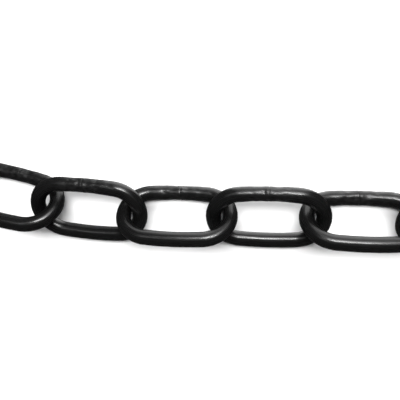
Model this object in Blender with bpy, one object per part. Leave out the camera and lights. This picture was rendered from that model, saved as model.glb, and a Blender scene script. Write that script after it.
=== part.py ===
"""A length of black painted anchor chain, lying loose on level ground.

Twelve welded long links, each one closed ring of round steel bar. Neighbouring
links lean opposite ways, each with its lower side bar on the ground, and pass
through one another at their crowns with a little play. The chain lies straight
to the right of the middle and bends away over three links to the left of it.
Metres, +Z up, ground at z = 0, +X along the chain.
"""
import math

import bmesh
import bpy
import numpy as np
from mathutils import Matrix

# Sizes of one link
BAR_DIAMETER = 0.0135       # round bar over its paint, nominal 13 mm
INNER_LENGTH = 0.082        # clear length of the window in a link
OUTER_WIDTH = 0.065         # over both side bars at mid-length
SIDE_BOW = 0.001            # how far the side bars swell past the crowns' radius

# How the links lie
LINK_COUNT = 12             # twelve links make about one metre
CROWN_GAP = 0.0012          # clear gap between two crowns that hang in each other
LEAN_DEG = 37.5             # mean tilt of a link's plane against the ground
LEAN_WANDER_DEG = 4.0       # the tilt wanders by this much along the chain
WANDER_LINKS = 6            # links in one half of that slow wave
BEND_DEG = 12.5             # whole turn of the chain in the bend
BEND_LINKS = 3              # links over which it turns
STRAIGHT_FROM = LINK_COUNT // 2 + 1   # first link of the straight run, counted from 1

# Facets
BAR_SIDES = 16              # flats round the bar
CROWN_STEPS = 12            # bar segments round one crown, even: a ring at its tip
SIDE_STEPS = 5              # bar segments along one side, odd: the middle one is level
FINE_STEPS = 90             # points on a crown when the gap at a joint is measured


def clear_scene():
    for ob in list(bpy.data.objects):
        bpy.data.objects.remove(ob, do_unlink=True)


def half_length():
    """From the link's centre to the bar's centre at the tip of a crown."""
    return (INNER_LENGTH + BAR_DIAMETER) / 2


def half_width():
    """From the link's centre to the bar's centre at mid-side."""
    return (OUTER_WIDTH - BAR_DIAMETER) / 2


def link_centreline(crown_steps, side_steps):
    """Closed oval of the bar's centre in the link's plane, as (x, y) rows.

    Two crown arcs joined by two shallow side arcs, all tangent to each other.
    """
    crown_radius = half_width() - SIDE_BOW
    crown_centre = half_length() - crown_radius
    drop = (crown_centre ** 2 - SIDE_BOW ** 2) / (2 * SIDE_BOW)
    side_radius = half_width() + drop
    side_half_angle = math.atan2(crown_centre, drop)

    crown_half_angle = math.pi / 2 - side_half_angle
    crown = np.linspace(-crown_half_angle, crown_half_angle, crown_steps + 1)[:-1]
    side = np.linspace(side_half_angle, -side_half_angle, side_steps + 1)[:-1]
    half = np.vstack([
        np.column_stack([crown_centre + crown_radius * np.cos(crown),
                         crown_radius * np.sin(crown)]),
        np.column_stack([side_radius * np.sin(side),
                         side_radius * np.cos(side) - drop]),
    ])
    return np.vstack([half, -half])


def link_surface(lean):
    """Vertices and faces of one link, flat in the XY plane round its centre."""
    line = link_centreline(CROWN_STEPS, SIDE_STEPS)
    before = line - np.roll(line, 1, axis=0)
    before /= np.linalg.norm(before, axis=1, keepdims=True)
    after = np.roll(before, -1, axis=0)
    along = before + after
    along /= np.linalg.norm(along, axis=1, keepdims=True)
    # Each ring is cut on the mitre, so every segment keeps the bar's full section.
    mitre = 1 / (along * after).sum(axis=1, keepdims=True)
    outward = np.column_stack([along[:, 1], -along[:, 0]]) * mitre

    # The bar's diameter is taken over its flats, and one flat points straight
    # down once the link leans.
    step = 2 * math.pi / BAR_SIDES
    angle = abs(lean) - math.pi / 2 + (np.arange(BAR_SIDES) + 0.5) * step
    radius = BAR_DIAMETER / 2 / math.cos(step / 2)
    verts = np.empty((len(line), BAR_SIDES, 3))
    verts[:, :, :2] = (line[:, None, :]
                       + radius * np.cos(angle)[None, :, None] * outward[:, None, :])
    verts[:, :, 2] = radius * np.sin(angle)[None, :]

    ring = np.arange(len(line))[:, None] * BAR_SIDES
    ring_next = np.roll(ring, -1, axis=0)
    j = np.arange(BAR_SIDES)[None, :]
    j_next = np.roll(j, -1, axis=1)
    faces = np.stack([ring + j, ring_next + j, ring_next + j_next, ring + j_next], axis=2)
    return verts.reshape(-1, 3), faces.reshape(-1, 4)


def heading(number):
    """Direction of a link on the ground, in radians from +X."""
    left = max(STRAIGHT_FROM - number, 0)
    return -math.radians(BEND_DEG) * min(left / BEND_LINKS, 1.0) ** 3


def lean_of(number):
    """Tilt of a link's plane; neighbours lean opposite ways."""
    wave = math.sin(math.pi * (number - STRAIGHT_FROM + 0.5) / WANDER_LINKS)
    return math.radians(LEAN_DEG + LEAN_WANDER_DEG * wave) * (1 if number % 2 else -1)


def turned(points, number):
    """Points of a link's own plane, turned to its lean and heading."""
    matrix = (Matrix.Rotation(heading(number), 3, "Z")
              @ Matrix.Rotation(lean_of(number), 3, "X"))
    return points @ np.array(matrix).T


def direction(number):
    return np.array([math.cos(heading(number)), math.sin(heading(number)), 0.0])


def overlap_at(left):
    """How deep a link and its right neighbour reach into each other, tip to tip.

    The bar centres are then one bar and CROWN_GAP apart at their closest.
    """
    oval = link_centreline(FINE_STEPS, SIDE_STEPS)
    oval = np.column_stack([oval, np.zeros(len(oval))])
    pair = []
    for number, side in ((left, 1), (left + 1, -1)):
        crown = oval[oval[:, 0] * side > 0]
        rise = half_width() * math.sin(abs(lean_of(number)))
        pair.append(turned(crown, number) - side * half_length() * direction(number)
                    + np.array([0.0, 0.0, rise]))

    low, high = 0.0, 4 * BAR_DIAMETER
    for _ in range(30):
        depth = (low + high) / 2
        a = pair[0] + direction(left) * depth / 2
        b = pair[1] - direction(left + 1) * depth / 2
        apart = np.linalg.norm(a[:, None, :] - b[None, :, :], axis=2).min()
        if apart < BAR_DIAMETER + CROWN_GAP:
            low = depth
        else:
            high = depth
    return high


def link_centres():
    """Centre of every link on the ground plan, from left to right."""
    centres = {1: np.zeros(3)}
    for left in range(1, LINK_COUNT):
        reach = half_length() - overlap_at(left) / 2
        joint = centres[left] + direction(left) * reach
        centres[left + 1] = joint + direction(left + 1) * reach
    return centres


def paint():
    """Gloss black paint on steel."""
    mat = bpy.data.materials.new("gloss_black_paint")
    mat.use_nodes = True
    shader = mat.node_tree.nodes["Principled BSDF"]
    shader.inputs["Base Color"].default_value = (0.009, 0.009, 0.0095, 1.0)
    shader.inputs["Metallic"].default_value = 0.0
    shader.inputs["Roughness"].default_value = 0.26
    mat.diffuse_color = (0.009, 0.009, 0.0095, 1.0)
    return mat


def add_link(name, verts, faces, mat):
    mesh = bpy.data.meshes.new(name)
    mesh.from_pydata([tuple(v) for v in verts], [], [tuple(int(i) for i in f) for f in faces])
    mesh.update()
    bm = bmesh.new()
    bm.from_mesh(mesh)
    bmesh.ops.recalc_face_normals(bm, faces=bm.faces)
    if bm.calc_volume(signed=True) < 0:
        bmesh.ops.reverse_faces(bm, faces=bm.faces)
    bm.to_mesh(mesh)
    bm.free()
    for poly in mesh.polygons:
        poly.use_smooth = True
    mesh.materials.append(mat)
    ob = bpy.data.objects.new(name, mesh)
    bpy.context.scene.collection.objects.link(ob)
    return ob


def main():
    clear_scene()
    placed = {}
    for number, centre in link_centres().items():
        flat, faces = link_surface(lean_of(number))
        verts = turned(flat, number) + centre
        # The lowest flat of each link lies on the ground.
        verts[:, 2] -= verts[:, 2].min()
        placed[number] = verts

    # Middle of the footprint at the origin.
    every = np.vstack(list(placed.values()))
    middle = (every.min(axis=0) + every.max(axis=0)) / 2
    middle[2] = 0.0
    mat = paint()
    for number, verts in placed.items():
        add_link(f"link_{number:02d}", verts - middle, faces, mat)


main()
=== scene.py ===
"""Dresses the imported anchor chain: round welded links under gloss black paint.

Each link of the frame gets a finely curved link of its own in the same place,
with its butt weld, the clamp marks beside it and a painted, drawn-bar surface.
Metres, +Z up, ground at z = 0, the chain's straight run along +X.
"""
import math

import bpy
import numpy as np
from bpy.props import FloatProperty, FloatVectorProperty, IntProperty, PointerProperty
from mathutils import Matrix, Vector


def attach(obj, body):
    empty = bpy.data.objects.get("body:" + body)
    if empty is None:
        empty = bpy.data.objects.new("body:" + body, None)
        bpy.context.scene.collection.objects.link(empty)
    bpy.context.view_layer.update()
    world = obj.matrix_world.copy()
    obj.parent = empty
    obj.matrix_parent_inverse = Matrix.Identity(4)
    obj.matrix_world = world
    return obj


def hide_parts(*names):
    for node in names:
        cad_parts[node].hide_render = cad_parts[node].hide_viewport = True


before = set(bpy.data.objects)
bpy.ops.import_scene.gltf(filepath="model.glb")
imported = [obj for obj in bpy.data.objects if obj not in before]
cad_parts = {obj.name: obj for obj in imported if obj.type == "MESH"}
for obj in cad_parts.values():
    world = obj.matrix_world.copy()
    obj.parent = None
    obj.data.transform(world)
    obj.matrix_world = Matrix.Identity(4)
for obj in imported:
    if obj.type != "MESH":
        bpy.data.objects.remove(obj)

bl_info = {
    "name": "Anchor chain",
    "version": (1, 0, 0),
    "blender": (4, 5, 0),
    "location": "3D View > Sidebar > Chain",
    "description": "Welded long-link chain in gloss black paint, laid on pale ground",
    "category": "Add Mesh",
}

MM = 0.001

# Relief of a bar: depths and sizes in mm, as lowest and highest
SEED = 1700                 # a link's number is added to it
SLOW_WAVES = ((4, 0.05), (7, 0.04), (13, 0.02))   # waves in one loop, and their depth
BAR_DENTS = 70              # anywhere on the bar
BAR_DENT_DEPTH = (0.01, 0.035)
BAR_DENT_SIZE = (2.2, 4.5)
WELD_DENTS = 26             # within the dent reach of the weld
WELD_DENT_SHARE = (0.3, 1.0)    # of the full dent depth
WELD_DENT_SIZE = (1.6, 3.2)
FAR_DENTS = 36              # shallower, within twice that reach
FAR_DENT_SHARE = (0.1, 0.4)
FAR_DENT_SIZE = (1.6, 3.4)
MARKED_ANGLE = 1.4          # radians to each side of straight up that those marks reach
GROOVE_SHARE = (0.3, 1.0)   # of the full seam depth
WELD_STEP = 2.6             # radians of the welds' wander from one link to the next
WELD_START = 0.8
WELD_RINGS = 3              # times as many rings by the weld
MASK_REACH = 1.6            # neck widths over which the weld's finish fades out

# Patterns of the coat: cells per metre along the bar, round it and across
DRAWING_LINES = (28.0, 900.0, 1.0)
RUN_MARKS = (35.0, 260.0, 1.0)
# Patterns in space: cells per metre
PEEL_DIMPLES = 650.0
WELD_PITS = 1100.0
# Greyer patches by the weld, which are painted sheen.
SHEEN_PATCHES = 250.0

# Stage
SENSOR_WIDTH = 36.0         # mm
CLIP_NEAR, CLIP_FAR = 0.01, 50.0   # m
FLOOR_HALF = 2.5            # m, from the middle to an edge
ROOM_LIGHT = 0.06           # strength of the dim room


def linear(hex_colour):
    """sRGB hex, such as "#101012", to linear RGB."""
    channels = [int(hex_colour[i:i + 2], 16) / 255 for i in (1, 3, 5)]
    return tuple(c / 12.92 if c <= 0.04045 else ((c + 0.055) / 1.055) ** 2.4
                 for c in channels)


# Properties

class ChainLinkSizes(bpy.types.PropertyGroup):
    bar_diameter: FloatProperty(
        name="Bar diameter", description="Round bar over its paint",
        default=0.0135, min=0.004, unit="LENGTH")
    inner_length: FloatProperty(
        name="Inner length", description="Clear length of the window in a link",
        default=0.082, min=0.02, unit="LENGTH")
    outer_width: FloatProperty(
        name="Outer width", description="Over both side bars at mid-length",
        default=0.065, min=0.02, unit="LENGTH")
    side_bow: FloatProperty(
        name="Side bow", description="How far the sides swell past the crowns' radius",
        default=0.001, min=0.0001, unit="LENGTH")
    ring_spacing: FloatProperty(
        name="Ring spacing", description="Distance between two rings of points along the bar",
        default=0.00095, min=0.0003, unit="LENGTH")
    sides: IntProperty(
        name="Sides", description="Points round the bar", default=48, min=12)


class ChainWeldSizes(bpy.types.PropertyGroup):
    crest_height: FloatProperty(
        name="Crest height", description="How far the weld stands above the bar beside it",
        default=0.0004, min=0.0, unit="LENGTH")
    crest_width: FloatProperty(
        name="Crest width", description="Half-width of the raised weld along the bar",
        default=0.0034, min=0.0005, unit="LENGTH")
    neck_width: FloatProperty(
        name="Neck width", description="Half-length of the bar drawn thin by the weld's heat",
        default=0.015, min=0.001, unit="LENGTH")
    seam_depth: FloatProperty(
        name="Seam depth", description="Depth of the fine groove where the bar's ends met",
        default=0.00038, min=0.0, unit="LENGTH")
    seam_width: FloatProperty(
        name="Seam width", description="Half-width of that groove along the bar",
        default=0.00075, min=0.0001, unit="LENGTH")
    dent_depth: FloatProperty(
        name="Dent depth", description="Depth of the hammer and clamp marks by the weld",
        default=0.0005, min=0.0, unit="LENGTH")
    dent_reach: FloatProperty(
        name="Dent reach", description="How far from the seam those marks lie",
        default=0.016, min=0.0, unit="LENGTH")
    wander: FloatProperty(
        name="Wander", description="How far a weld may sit off the middle of its side",
        default=0.002, min=0.0, unit="LENGTH")


class ChainPaint(bpy.types.PropertyGroup):
    colour: FloatVectorProperty(
        name="Paint colour", description="Gloss black enamel",
        subtype="COLOR", size=3, min=0, max=1, default=linear("#0c0c0c"))
    # Paler grey of the coat's thin run marks, and of the painted sheen patches by the weld.
    thin_coat_and_sheen_colour: FloatVectorProperty(
        name="Thin paint colour", description="Where the coat is thin and dusty",
        subtype="COLOR", size=3, min=0, max=1, default=linear("#1a1a1a"))
    roughness: FloatProperty(
        name="Roughness", description="Roughness of the smooth coat",
        default=0.2, min=0.0, max=1.0, subtype="FACTOR")


class ChainStage(bpy.types.PropertyGroup):
    floor_colour: FloatVectorProperty(
        name="Floor colour", description="Plain pale ground",
        subtype="COLOR", size=3, min=0, max=1, default=linear("#f4f4f4"))
    lens: FloatProperty(
        name="Lens", description="Focal length in millimetres on a 36 mm sensor",
        default=42.0, min=10.0)
    camera_place: FloatVectorProperty(
        name="Camera place", description="Where the camera stands, above the chain",
        subtype="TRANSLATION", unit="LENGTH", size=3, default=(0.0177, -0.0319, 0.4333))
    aim: FloatVectorProperty(
        name="Aim", description="Point in the middle of the image",
        subtype="TRANSLATION", unit="LENGTH", size=3, default=(-0.02412, -0.02161, 0.021))
    roll: FloatProperty(
        name="Roll", description="Turn of the camera about its view line",
        default=math.radians(1.41), subtype="ANGLE")


# Meshes

def link_oval(sizes):
    """Length and arcs of a link's centreline.

    The oval has two crown arcs of radius r = half width - bow, joined by two
    shallow arcs that pass half width at mid-side, all tangent. Arc length runs
    from the middle of the +Y side, towards -X, round to the same point, so the
    first arc and the last are halves of that side. Each arc has its start, its
    radius, the heading angle of its first outward normal, and its centre.
    """
    half_length = (sizes.inner_length + sizes.bar_diameter) / 2
    half_width = (sizes.outer_width - sizes.bar_diameter) / 2
    crown_radius = half_width - sizes.side_bow
    crown_centre = half_length - crown_radius
    drop = (crown_centre ** 2 - sizes.side_bow ** 2) / (2 * sizes.side_bow)
    side_radius = half_width + drop
    side_angle = math.atan2(crown_centre, drop)
    crown_angle = math.pi - 2 * side_angle
    half_side = side_radius * side_angle
    crown = crown_radius * crown_angle
    loop = 4 * half_side + 2 * crown

    edges = np.cumsum([half_side, crown, 2 * half_side, crown])
    starts = np.array([-half_side, *edges])
    radii = np.array([side_radius, crown_radius, side_radius, crown_radius, side_radius])
    headings = np.pi / 2 - side_angle + np.cumsum(
        [0, 2 * side_angle, crown_angle, 2 * side_angle, crown_angle])
    centres = np.array([(0, -drop), (-crown_centre, 0), (0, drop), (crown_centre, 0),
                        (0, -drop)])
    return loop, edges, starts, radii, headings, centres


def link_path(sizes, stations):
    """Centreline of a link at arc lengths in metres: points and outward normals."""
    loop, edges, starts, radii, headings, centres = link_oval(sizes)
    s = np.mod(stations, loop)
    arc = np.searchsorted(edges, s, side="right")
    normal_angle = headings[arc] + (s - starts[arc]) / radii[arc]
    normal = np.column_stack([np.cos(normal_angle), np.sin(normal_angle)])
    return centres[arc] + radii[arc][:, None] * normal, normal


def ring_stations(sizes, weld, weld_at):
    """Arc lengths of the rings, evenly spaced and closer by the weld, and the loop's."""
    loop = link_oval(sizes)[0]
    rings = round(loop / sizes.ring_spacing)
    even = np.arange(rings) / rings * loop
    fine = sizes.ring_spacing / WELD_RINGS
    reach = round(weld.neck_width / fine)
    near = weld_at + np.arange(-reach, reach + 1) * fine
    gap = np.abs((even - weld_at + loop / 2) % loop - loop / 2)
    kept = even[gap > (reach + 1.5) * fine]
    return np.sort(np.mod(np.concatenate([kept, near]), loop)), loop


def dents(t, v, loop, places, turns, depths, widths, radius):
    """Shallow hollows: each a bell of its own depth and size along and round the bar.

    Distance along the bar is taken the short way round the loop, and distance
    round it from the cosine of the angle between.
    """
    hollow = np.zeros((t.shape[0], v.shape[1]))
    for place, turn, depth, width in zip(places, turns, depths, widths):
        away = (t - place + loop / 2) % loop - loop / 2
        bell = np.exp(-(away / width) ** 2)
        hollow += depth * bell * np.exp((np.cos(v - turn) - 1) * 2 * (radius / width) ** 2)
    return hollow


def bar_radius(sizes, weld, along, loop, around, up_angle, draw):
    """Radius of the bar at each ring (rows) and point round it (columns).

    A round bar, less a slow unevenness and shallow dents, with a weld at along = 0:
    the bar thins to a neck there and a bell-shaped crest fills the neck again,
    with a fine groove in it and small hammer and clamp marks on both sides. The
    bar's own diameter is never exceeded.
    """
    half = sizes.bar_diameter / 2
    radius = np.full((len(along), len(around)), half)
    t = along[:, None]
    v = around[None, :]

    for count, depth in SLOW_WAVES:
        wave = loop / count
        phase, twist = draw.uniform(0, 2 * np.pi, 2)
        radius -= depth * MM * (1 + np.sin(2 * np.pi * t / wave + phase)
                                * np.cos(v + twist)) / 2

    radius -= dents(t, v, loop, draw.uniform(-loop / 2, loop / 2, BAR_DENTS),
                    draw.uniform(0, 2 * np.pi, BAR_DENTS),
                    draw.uniform(*BAR_DENT_DEPTH, BAR_DENTS) * MM,
                    draw.uniform(*BAR_DENT_SIZE, BAR_DENTS) * MM, half)

    # Round the bar the crest keeps between half and all of its height.
    ragged = 0.75 + 0.25 * np.sin(3 * v + draw.uniform(0, 6)) * np.sin(
        5 * v + draw.uniform(0, 6))
    radius -= weld.crest_height * np.exp(-(t / weld.neck_width) ** 2)
    radius += weld.crest_height * np.exp(-(t / weld.crest_width) ** 2) * ragged
    groove = weld.seam_depth * draw.uniform(*GROOVE_SHARE)
    radius -= groove * np.exp(-(t / weld.seam_width) ** 2)

    for reach, number, share, width in (
            (weld.dent_reach, WELD_DENTS, WELD_DENT_SHARE, WELD_DENT_SIZE),
            (2 * weld.dent_reach, FAR_DENTS, FAR_DENT_SHARE, FAR_DENT_SIZE)):
        radius -= dents(t, v, loop, draw.uniform(-reach, reach, number),
                        up_angle + draw.uniform(-MARKED_ANGLE, MARKED_ANGLE, number),
                        weld.dent_depth * draw.uniform(*share, number),
                        draw.uniform(*width, number) * MM, half)
    return radius


def link_place(node):
    """Centre and axes of a link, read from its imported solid.

    The mean of the vertices is the centre, and their principal axes are the
    link's length, width and plane normal, pointing to +X, +Y and up.
    """
    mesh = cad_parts[node].data
    points = np.empty(len(mesh.vertices) * 3)
    mesh.vertices.foreach_get("co", points)
    points = np.unique(points.reshape(-1, 3).round(7), axis=0)
    centre = points.mean(axis=0)
    _, _, axes = np.linalg.svd(points - centre, full_matrices=False)
    length = axes[0] * np.sign(axes[0, 0])
    width = axes[1] * np.sign(axes[1, 1])
    return centre, np.column_stack([length, width, np.cross(length, width)])


def smooth_mesh(name, points, faces, uv, weld_mask):
    """A mesh from a closed grid, with its UV map in metres and the weld mask."""
    mesh = bpy.data.meshes.new(name)
    mesh.vertices.add(len(points))
    mesh.vertices.foreach_set("co", points.ravel())
    mesh.loops.add(faces.size)
    mesh.loops.foreach_set("vertex_index", faces.ravel())
    mesh.polygons.add(len(faces))
    mesh.polygons.foreach_set("loop_start", np.arange(0, faces.size, 4))
    mesh.polygons.foreach_set("loop_total", np.full(len(faces), 4))
    mesh.update(calc_edges=True)
    mesh.validate()
    layer = mesh.uv_layers.new(name="bar")
    layer.data.foreach_set("uv", uv.ravel())
    mask = mesh.attributes.new("weld", "FLOAT", "POINT")
    mask.data.foreach_set("value", weld_mask.ravel())
    mesh.shade_smooth()
    return mesh


def build_link(node, sizes, weld):
    """One link: the bar's round section carried along its oval centreline."""
    number = int(node[-2:])
    draw = np.random.default_rng(SEED + number)
    centre, axes = link_place(node)
    # Each weld sits a little to one side or the other of the middle of its bar.
    weld_at = weld.wander * math.sin(WELD_STEP * number + WELD_START)
    stations, loop = ring_stations(sizes, weld, weld_at)
    path, normal = link_path(sizes, stations)
    around = np.arange(sizes.sides) / sizes.sides * 2 * np.pi
    along = (stations - weld_at + loop / 2) % loop - loop / 2

    # Angle round the bar, on the +Y side, that looks straight up.
    up = axes.T @ np.array([0.0, 0.0, 1.0])
    up_angle = math.atan2(up[2], up[1])
    radius = bar_radius(sizes, weld, along, loop, around, up_angle, draw)

    flat = np.empty((len(stations), sizes.sides, 3))
    flat[:, :, :2] = (path[:, None, :]
                      + (radius * np.cos(around))[:, :, None] * normal[:, None, :])
    flat[:, :, 2] = radius * np.sin(around)
    points = flat.reshape(-1, 3) @ axes.T + centre

    rings, sides = len(stations), sizes.sides
    i, j = np.meshgrid(np.arange(rings), np.arange(sides), indexing="ij")
    i_next, j_next = (i + 1) % rings, (j + 1) % sides
    corners = [(i, j), (i_next, j), (i_next, j_next), (i, j_next)]
    faces = np.stack([a * sides + b for a, b in corners], axis=-1).reshape(-1, 4)

    # UV in metres along and round the bar; the last column and ring run on past
    # the first, so that no face is stretched back over the whole map.
    along_end = np.append(stations, loop + stations[0])
    round_end = np.arange(sides + 1) / sides * math.pi * sizes.bar_diameter
    steps = [(i, j), (i + 1, j), (i + 1, j + 1), (i, j + 1)]
    uv = np.stack([np.stack([along_end[a], round_end[b]], axis=-1) for a, b in steps],
                  axis=2).reshape(-1, 4, 2)

    mask = np.exp(-(along / (MASK_REACH * weld.neck_width)) ** 2)[:, None] * np.ones((1, sides))
    name = f"painted_{node}"
    mesh = smooth_mesh(name, points, faces, uv, mask)
    piece = bpy.data.objects.new(name, mesh)
    bpy.context.scene.collection.objects.link(piece)
    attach(piece, node)
    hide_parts(node)
    return piece


# Materials

def add_node(tree, kind, settings=None, inputs=None, links=()):
    """A node with its settings and input values, fed by (output, input) links."""
    node = tree.nodes.new(kind)
    for key, value in (settings or {}).items():
        setattr(node, key, value)
    for key, value in (inputs or {}).items():
        node.inputs[key].default_value = value
    for output, key in links:
        tree.links.new(output, node.inputs[key])
    return node


def black_enamel(paint):
    """Gloss black enamel, dipped or brushed over drawn and welded steel bar.

    To the eye: near black, mirror-like in soft streaks along the bar where the
    drawn steel shows through the coat, a faint orange peel, and over the weld a
    duller, pitted coat with greyer patches, which are painted sheen.
    """
    mat = bpy.data.materials.new("gloss_black_enamel_on_steel")
    mat.use_nodes = True
    tree = mat.node_tree
    shader = tree.nodes["Principled BSDF"]
    shader.inputs["IOR"].default_value = 1.5
    shader.inputs["Metallic"].default_value = 0.0

    uv = add_node(tree, "ShaderNodeUVMap", {"uv_map": "bar"})
    place = add_node(tree, "ShaderNodeTexCoord")
    weld = add_node(tree, "ShaderNodeAttribute", {"attribute_name": "weld"})

    # Drawing lines: about 1 mm apart round the bar, tens of millimetres long.
    lines_map = add_node(tree, "ShaderNodeMapping", inputs={"Scale": DRAWING_LINES},
                         links=[(uv.outputs["UV"], "Vector")])
    lines = add_node(tree, "ShaderNodeTexNoise", inputs={"Scale": 1.0, "Detail": 3.0},
                     links=[(lines_map.outputs["Vector"], "Vector")])
    # Brush and run marks in the coat: about 4 mm wide and 30 mm long.
    runs_map = add_node(tree, "ShaderNodeMapping", inputs={"Scale": RUN_MARKS},
                        links=[(uv.outputs["UV"], "Vector")])
    runs = add_node(tree, "ShaderNodeTexNoise", inputs={"Scale": 1.0, "Detail": 2.0},
                    links=[(runs_map.outputs["Vector"], "Vector")])
    # Orange peel: dimples 1.5 mm across.
    peel = add_node(tree, "ShaderNodeTexNoise", inputs={"Scale": PEEL_DIMPLES, "Detail": 1.5},
                    links=[(place.outputs["Object"], "Vector")])
    # Pits and spatter under the paint at the weld: 0.9 mm.
    pits = add_node(tree, "ShaderNodeTexNoise", inputs={"Scale": WELD_PITS, "Detail": 3.0},
                    links=[(place.outputs["Object"], "Vector")])
    # Greyer patches by the weld, 4 mm across: painted sheen.
    patches = add_node(tree, "ShaderNodeTexNoise", inputs={"Scale": SHEEN_PATCHES, "Detail": 2.5},
                       links=[(place.outputs["Object"], "Vector")])

    thin = add_node(tree, "ShaderNodeMapRange",
                    inputs={"From Min": 0.5, "From Max": 0.8, "To Min": 0.0, "To Max": 0.35},
                    links=[(runs.outputs["Fac"], "Value")])
    # Painted sheen: greyer patches, by the weld only.
    painted_sheen = add_node(tree, "ShaderNodeMapRange",
                     inputs={"From Min": 0.42, "From Max": 0.62, "To Min": 0.0, "To Max": 1.0},
                     links=[(patches.outputs["Fac"], "Value")])
    # Share of the paler grey: the coat's thin run marks, plus the painted sheen patches by the
    # weld.
    coat_and_sheen = add_node(tree, "ShaderNodeMath", {"operation": "MULTIPLY_ADD"},
                        links=[(painted_sheen.outputs["Result"], 0), (weld.outputs["Fac"], 1),
                               (thin.outputs["Result"], 2)])
    colour = add_node(tree, "ShaderNodeMix", {"data_type": "RGBA"},
                      links=[(coat_and_sheen.outputs["Value"], "Factor")])
    colour.inputs["A"].default_value = (*paint.colour, 1.0)
    colour.inputs["B"].default_value = (*paint.thin_coat_and_sheen_colour, 1.0)
    tree.links.new(colour.outputs["Result"], shader.inputs["Base Color"])

    gloss = add_node(tree, "ShaderNodeMapRange",
                     inputs={"From Min": 0.3, "From Max": 0.75,
                             "To Min": paint.roughness, "To Max": paint.roughness + 0.14},
                     links=[(lines.outputs["Fac"], "Value")])
    dull = add_node(tree, "ShaderNodeMath", {"operation": "MULTIPLY_ADD"},
                    inputs={1: 0.05}, links=[(weld.outputs["Fac"], 0),
                                             (gloss.outputs["Result"], 2)])
    tree.links.new(dull.outputs["Value"], shader.inputs["Roughness"])

    peel_bump = add_node(tree, "ShaderNodeBump", inputs={"Strength": 0.35, "Distance": 0.00004},
                         links=[(peel.outputs["Fac"], "Height")])
    line_bump = add_node(tree, "ShaderNodeBump", inputs={"Strength": 0.5, "Distance": 0.00006},
                         links=[(lines.outputs["Fac"], "Height"),
                                (peel_bump.outputs["Normal"], "Normal")])
    rough_weld = add_node(tree, "ShaderNodeMath", {"operation": "MULTIPLY"},
                          links=[(weld.outputs["Fac"], 0), (pits.outputs["Fac"], 1)])
    weld_bump = add_node(tree, "ShaderNodeBump", inputs={"Strength": 0.9, "Distance": 0.0002},
                         links=[(rough_weld.outputs["Value"], "Height"),
                                (line_bump.outputs["Normal"], "Normal")])
    tree.links.new(weld_bump.outputs["Normal"], shader.inputs["Normal"])
    return mat


def pale_floor(colour):
    """Matt white board: plain and without gloss."""
    mat = bpy.data.materials.new("matt_white_board")
    mat.use_nodes = True
    shader = mat.node_tree.nodes["Principled BSDF"]
    shader.inputs["Base Color"].default_value = (*colour, 1.0)
    shader.inputs["Roughness"].default_value = 1.0
    shader.inputs["Specular IOR Level"].default_value = 0.0
    return mat


# Stage

CHAIN_MIDDLE_Y = -0.03      # m, where the lights face

# Name, tilt and span in degrees, left end, right end and distance in metres, and
# radiance. These two light the ground, and give the paint no highlights.
LIGHTS = (
    ("overhead_light", 11, 20, -5.0, 5.0, 12.0, 14.5),
    ("side_light", 46, 22, -6.0, 6.0, 12.0, 6.2),
)
# These show as highlights in the paint only: a bright strip in a soft surround to
# the right, dimmer boards lower down, and a dim ceiling over the left.
REFLECTIONS = (
    ("strip", 19, 6, -0.04, 0.36, 1.0, 52.0),
    ("strip_surround", 30, 22, -0.02, 0.5, 1.0, 6.0),
    ("high_board", 56, 26, -0.16, 0.75, 1.0, 1.1),
    ("low_board_right", 110, 76, -0.3, 0.62, 1.0, 2.4),
    ("low_board_left", 116, 64, -0.6, -0.3, 1.0, 0.35),
    ("left_ceiling", 8, 14, -0.56, -0.27, 1.0, 1.9),
)


def add_light(name, tilt, span, left, right, distance, radiance):
    """A rectangular area light that faces the chain.

    Tilt is its direction from straight overhead towards +Y, and span the angle
    that it fills across; left and right are its ends along X.
    """
    light = bpy.data.lights.new(name, "AREA")
    light.shape = "RECTANGLE"
    light.size = right - left
    light.size_y = 2 * distance * math.tan(math.radians(span / 2))
    light.energy = radiance * math.pi * light.size * light.size_y
    ob = bpy.data.objects.new(name, light)
    lean = math.radians(tilt)
    ob.location = ((left + right) / 2, CHAIN_MIDDLE_Y + distance * math.sin(lean),
                   distance * math.cos(lean))
    ob.rotation_euler = (-lean, 0.0, 0.0)
    ob.visible_camera = False
    bpy.context.scene.collection.objects.link(ob)
    return ob


def add_camera(stage):
    """A camera at its place, its aim in the middle of the image, rolled a little."""
    cam = bpy.data.cameras.new("camera")
    cam.sensor_width = SENSOR_WIDTH
    cam.lens = stage.lens
    cam.clip_start, cam.clip_end = CLIP_NEAR, CLIP_FAR
    ob = bpy.data.objects.new("camera", cam)
    place, aim = Vector(stage.camera_place), Vector(stage.aim)
    back = (place - aim).normalized()
    right = Vector((0.0, 1.0, 0.0)).cross(back).normalized()
    up = back.cross(right)
    turned = Matrix.Rotation(stage.roll, 3, back)
    axes = Matrix((turned @ right, turned @ up, back)).transposed()
    ob.matrix_world = Matrix.Translation(place) @ axes.to_4x4()
    bpy.context.scene.collection.objects.link(ob)
    bpy.context.scene.camera = ob
    return ob


def add_world():
    """Dim room light; the camera sees a pale backdrop past the floor's edge."""
    world = bpy.data.worlds.new("studio")
    bpy.context.scene.world = world
    world.use_nodes = True
    tree = world.node_tree
    dim = tree.nodes["Background"]
    dim.inputs["Color"].default_value = (1, 1, 1, 1)
    dim.inputs["Strength"].default_value = ROOM_LIGHT
    pale = add_node(tree, "ShaderNodeBackground",
                    inputs={"Color": (1.0, 1.0, 1.0, 1.0), "Strength": 1.0})
    rays = add_node(tree, "ShaderNodeLightPath")
    mix = add_node(tree, "ShaderNodeMixShader",
                   links=[(rays.outputs["Is Camera Ray"], 0),
                          (dim.outputs["Background"], 1), (pale.outputs["Background"], 2)])
    tree.links.new(mix.outputs["Shader"], tree.nodes["World Output"].inputs["Surface"])


# Operators

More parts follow.
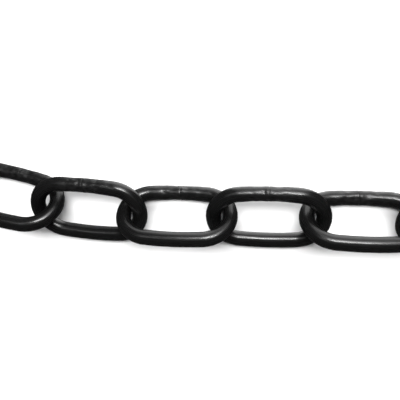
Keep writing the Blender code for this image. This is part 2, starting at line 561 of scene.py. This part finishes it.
class CHAIN_OT_add_links(bpy.types.Operator):
    """Adds a fine painted link in the place of each link of the frame"""
    bl_idname = "chain.add_links"
    bl_label = "Add Links"

    def execute(self, context):
        scene = context.scene
        mat = black_enamel(scene.chain_paint)
        for node in sorted(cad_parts):
            piece = build_link(node, scene.chain_link, scene.chain_weld)
            piece.data.materials.append(mat)
        return {"FINISHED"}


class CHAIN_OT_add_stage(bpy.types.Operator):
    """Adds the pale ground, the studio lights and the camera above the chain"""
    bl_idname = "chain.add_stage"
    bl_label = "Add Stage"

    def execute(self, context):
        stage = context.scene.chain_stage
        mesh = bpy.data.meshes.new("floor")
        corners = [(x * FLOOR_HALF, y * FLOOR_HALF, 0)
                   for x, y in ((-1, -1), (1, -1), (1, 1), (-1, 1))]
        mesh.from_pydata(corners, [], [(0, 1, 2, 3)])
        floor = bpy.data.objects.new("floor", mesh)
        # The paint mirrors the panels and the dark room, not the ground, and the
        # boards that hang below the ground's level still reach it.
        floor.visible_glossy = False
        floor.visible_shadow = False
        floor.data.materials.append(pale_floor(stage.floor_colour))
        context.scene.collection.objects.link(floor)

        for light in LIGHTS:
            add_light(*light).visible_glossy = False
        for light in REFLECTIONS:
            add_light(*light).visible_diffuse = False
        add_world()
        add_camera(stage)
        context.scene.view_settings.view_transform = "Standard"
        return {"FINISHED"}


class CHAIN_PT_panel(bpy.types.Panel):
    bl_idname = "CHAIN_PT_panel"
    bl_label = "Anchor Chain"
    bl_space_type = "VIEW_3D"
    bl_region_type = "UI"
    bl_category = "Chain"

    def draw(self, context):
        layout = self.layout
        scene = context.scene
        for group, title in ((scene.chain_link, "Link"), (scene.chain_weld, "Weld"),
                             (scene.chain_paint, "Paint"), (scene.chain_stage, "Stage")):
            box = layout.box()
            box.label(text=title)
            for key in group.__annotations__:
                box.prop(group, key)
        layout.operator(CHAIN_OT_add_links.bl_idname)
        layout.operator(CHAIN_OT_add_stage.bl_idname)


GROUPS = {
    "chain_link": ChainLinkSizes,
    "chain_weld": ChainWeldSizes,
    "chain_paint": ChainPaint,
    "chain_stage": ChainStage,
}
CLASSES = (*GROUPS.values(), CHAIN_OT_add_links, CHAIN_OT_add_stage, CHAIN_PT_panel)


def register():
    for cls in CLASSES:
        bpy.utils.register_class(cls)
    for name, cls in GROUPS.items():
        setattr(bpy.types.Scene, name, PointerProperty(type=cls))


def unregister():
    for name in GROUPS:
        delattr(bpy.types.Scene, name)
    for cls in reversed(CLASSES):
        bpy.utils.unregister_class(cls)


def main():
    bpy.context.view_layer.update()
    register()
    bpy.ops.chain.add_links()
    bpy.ops.chain.add_stage()


if __name__ == "__main__":
    main()
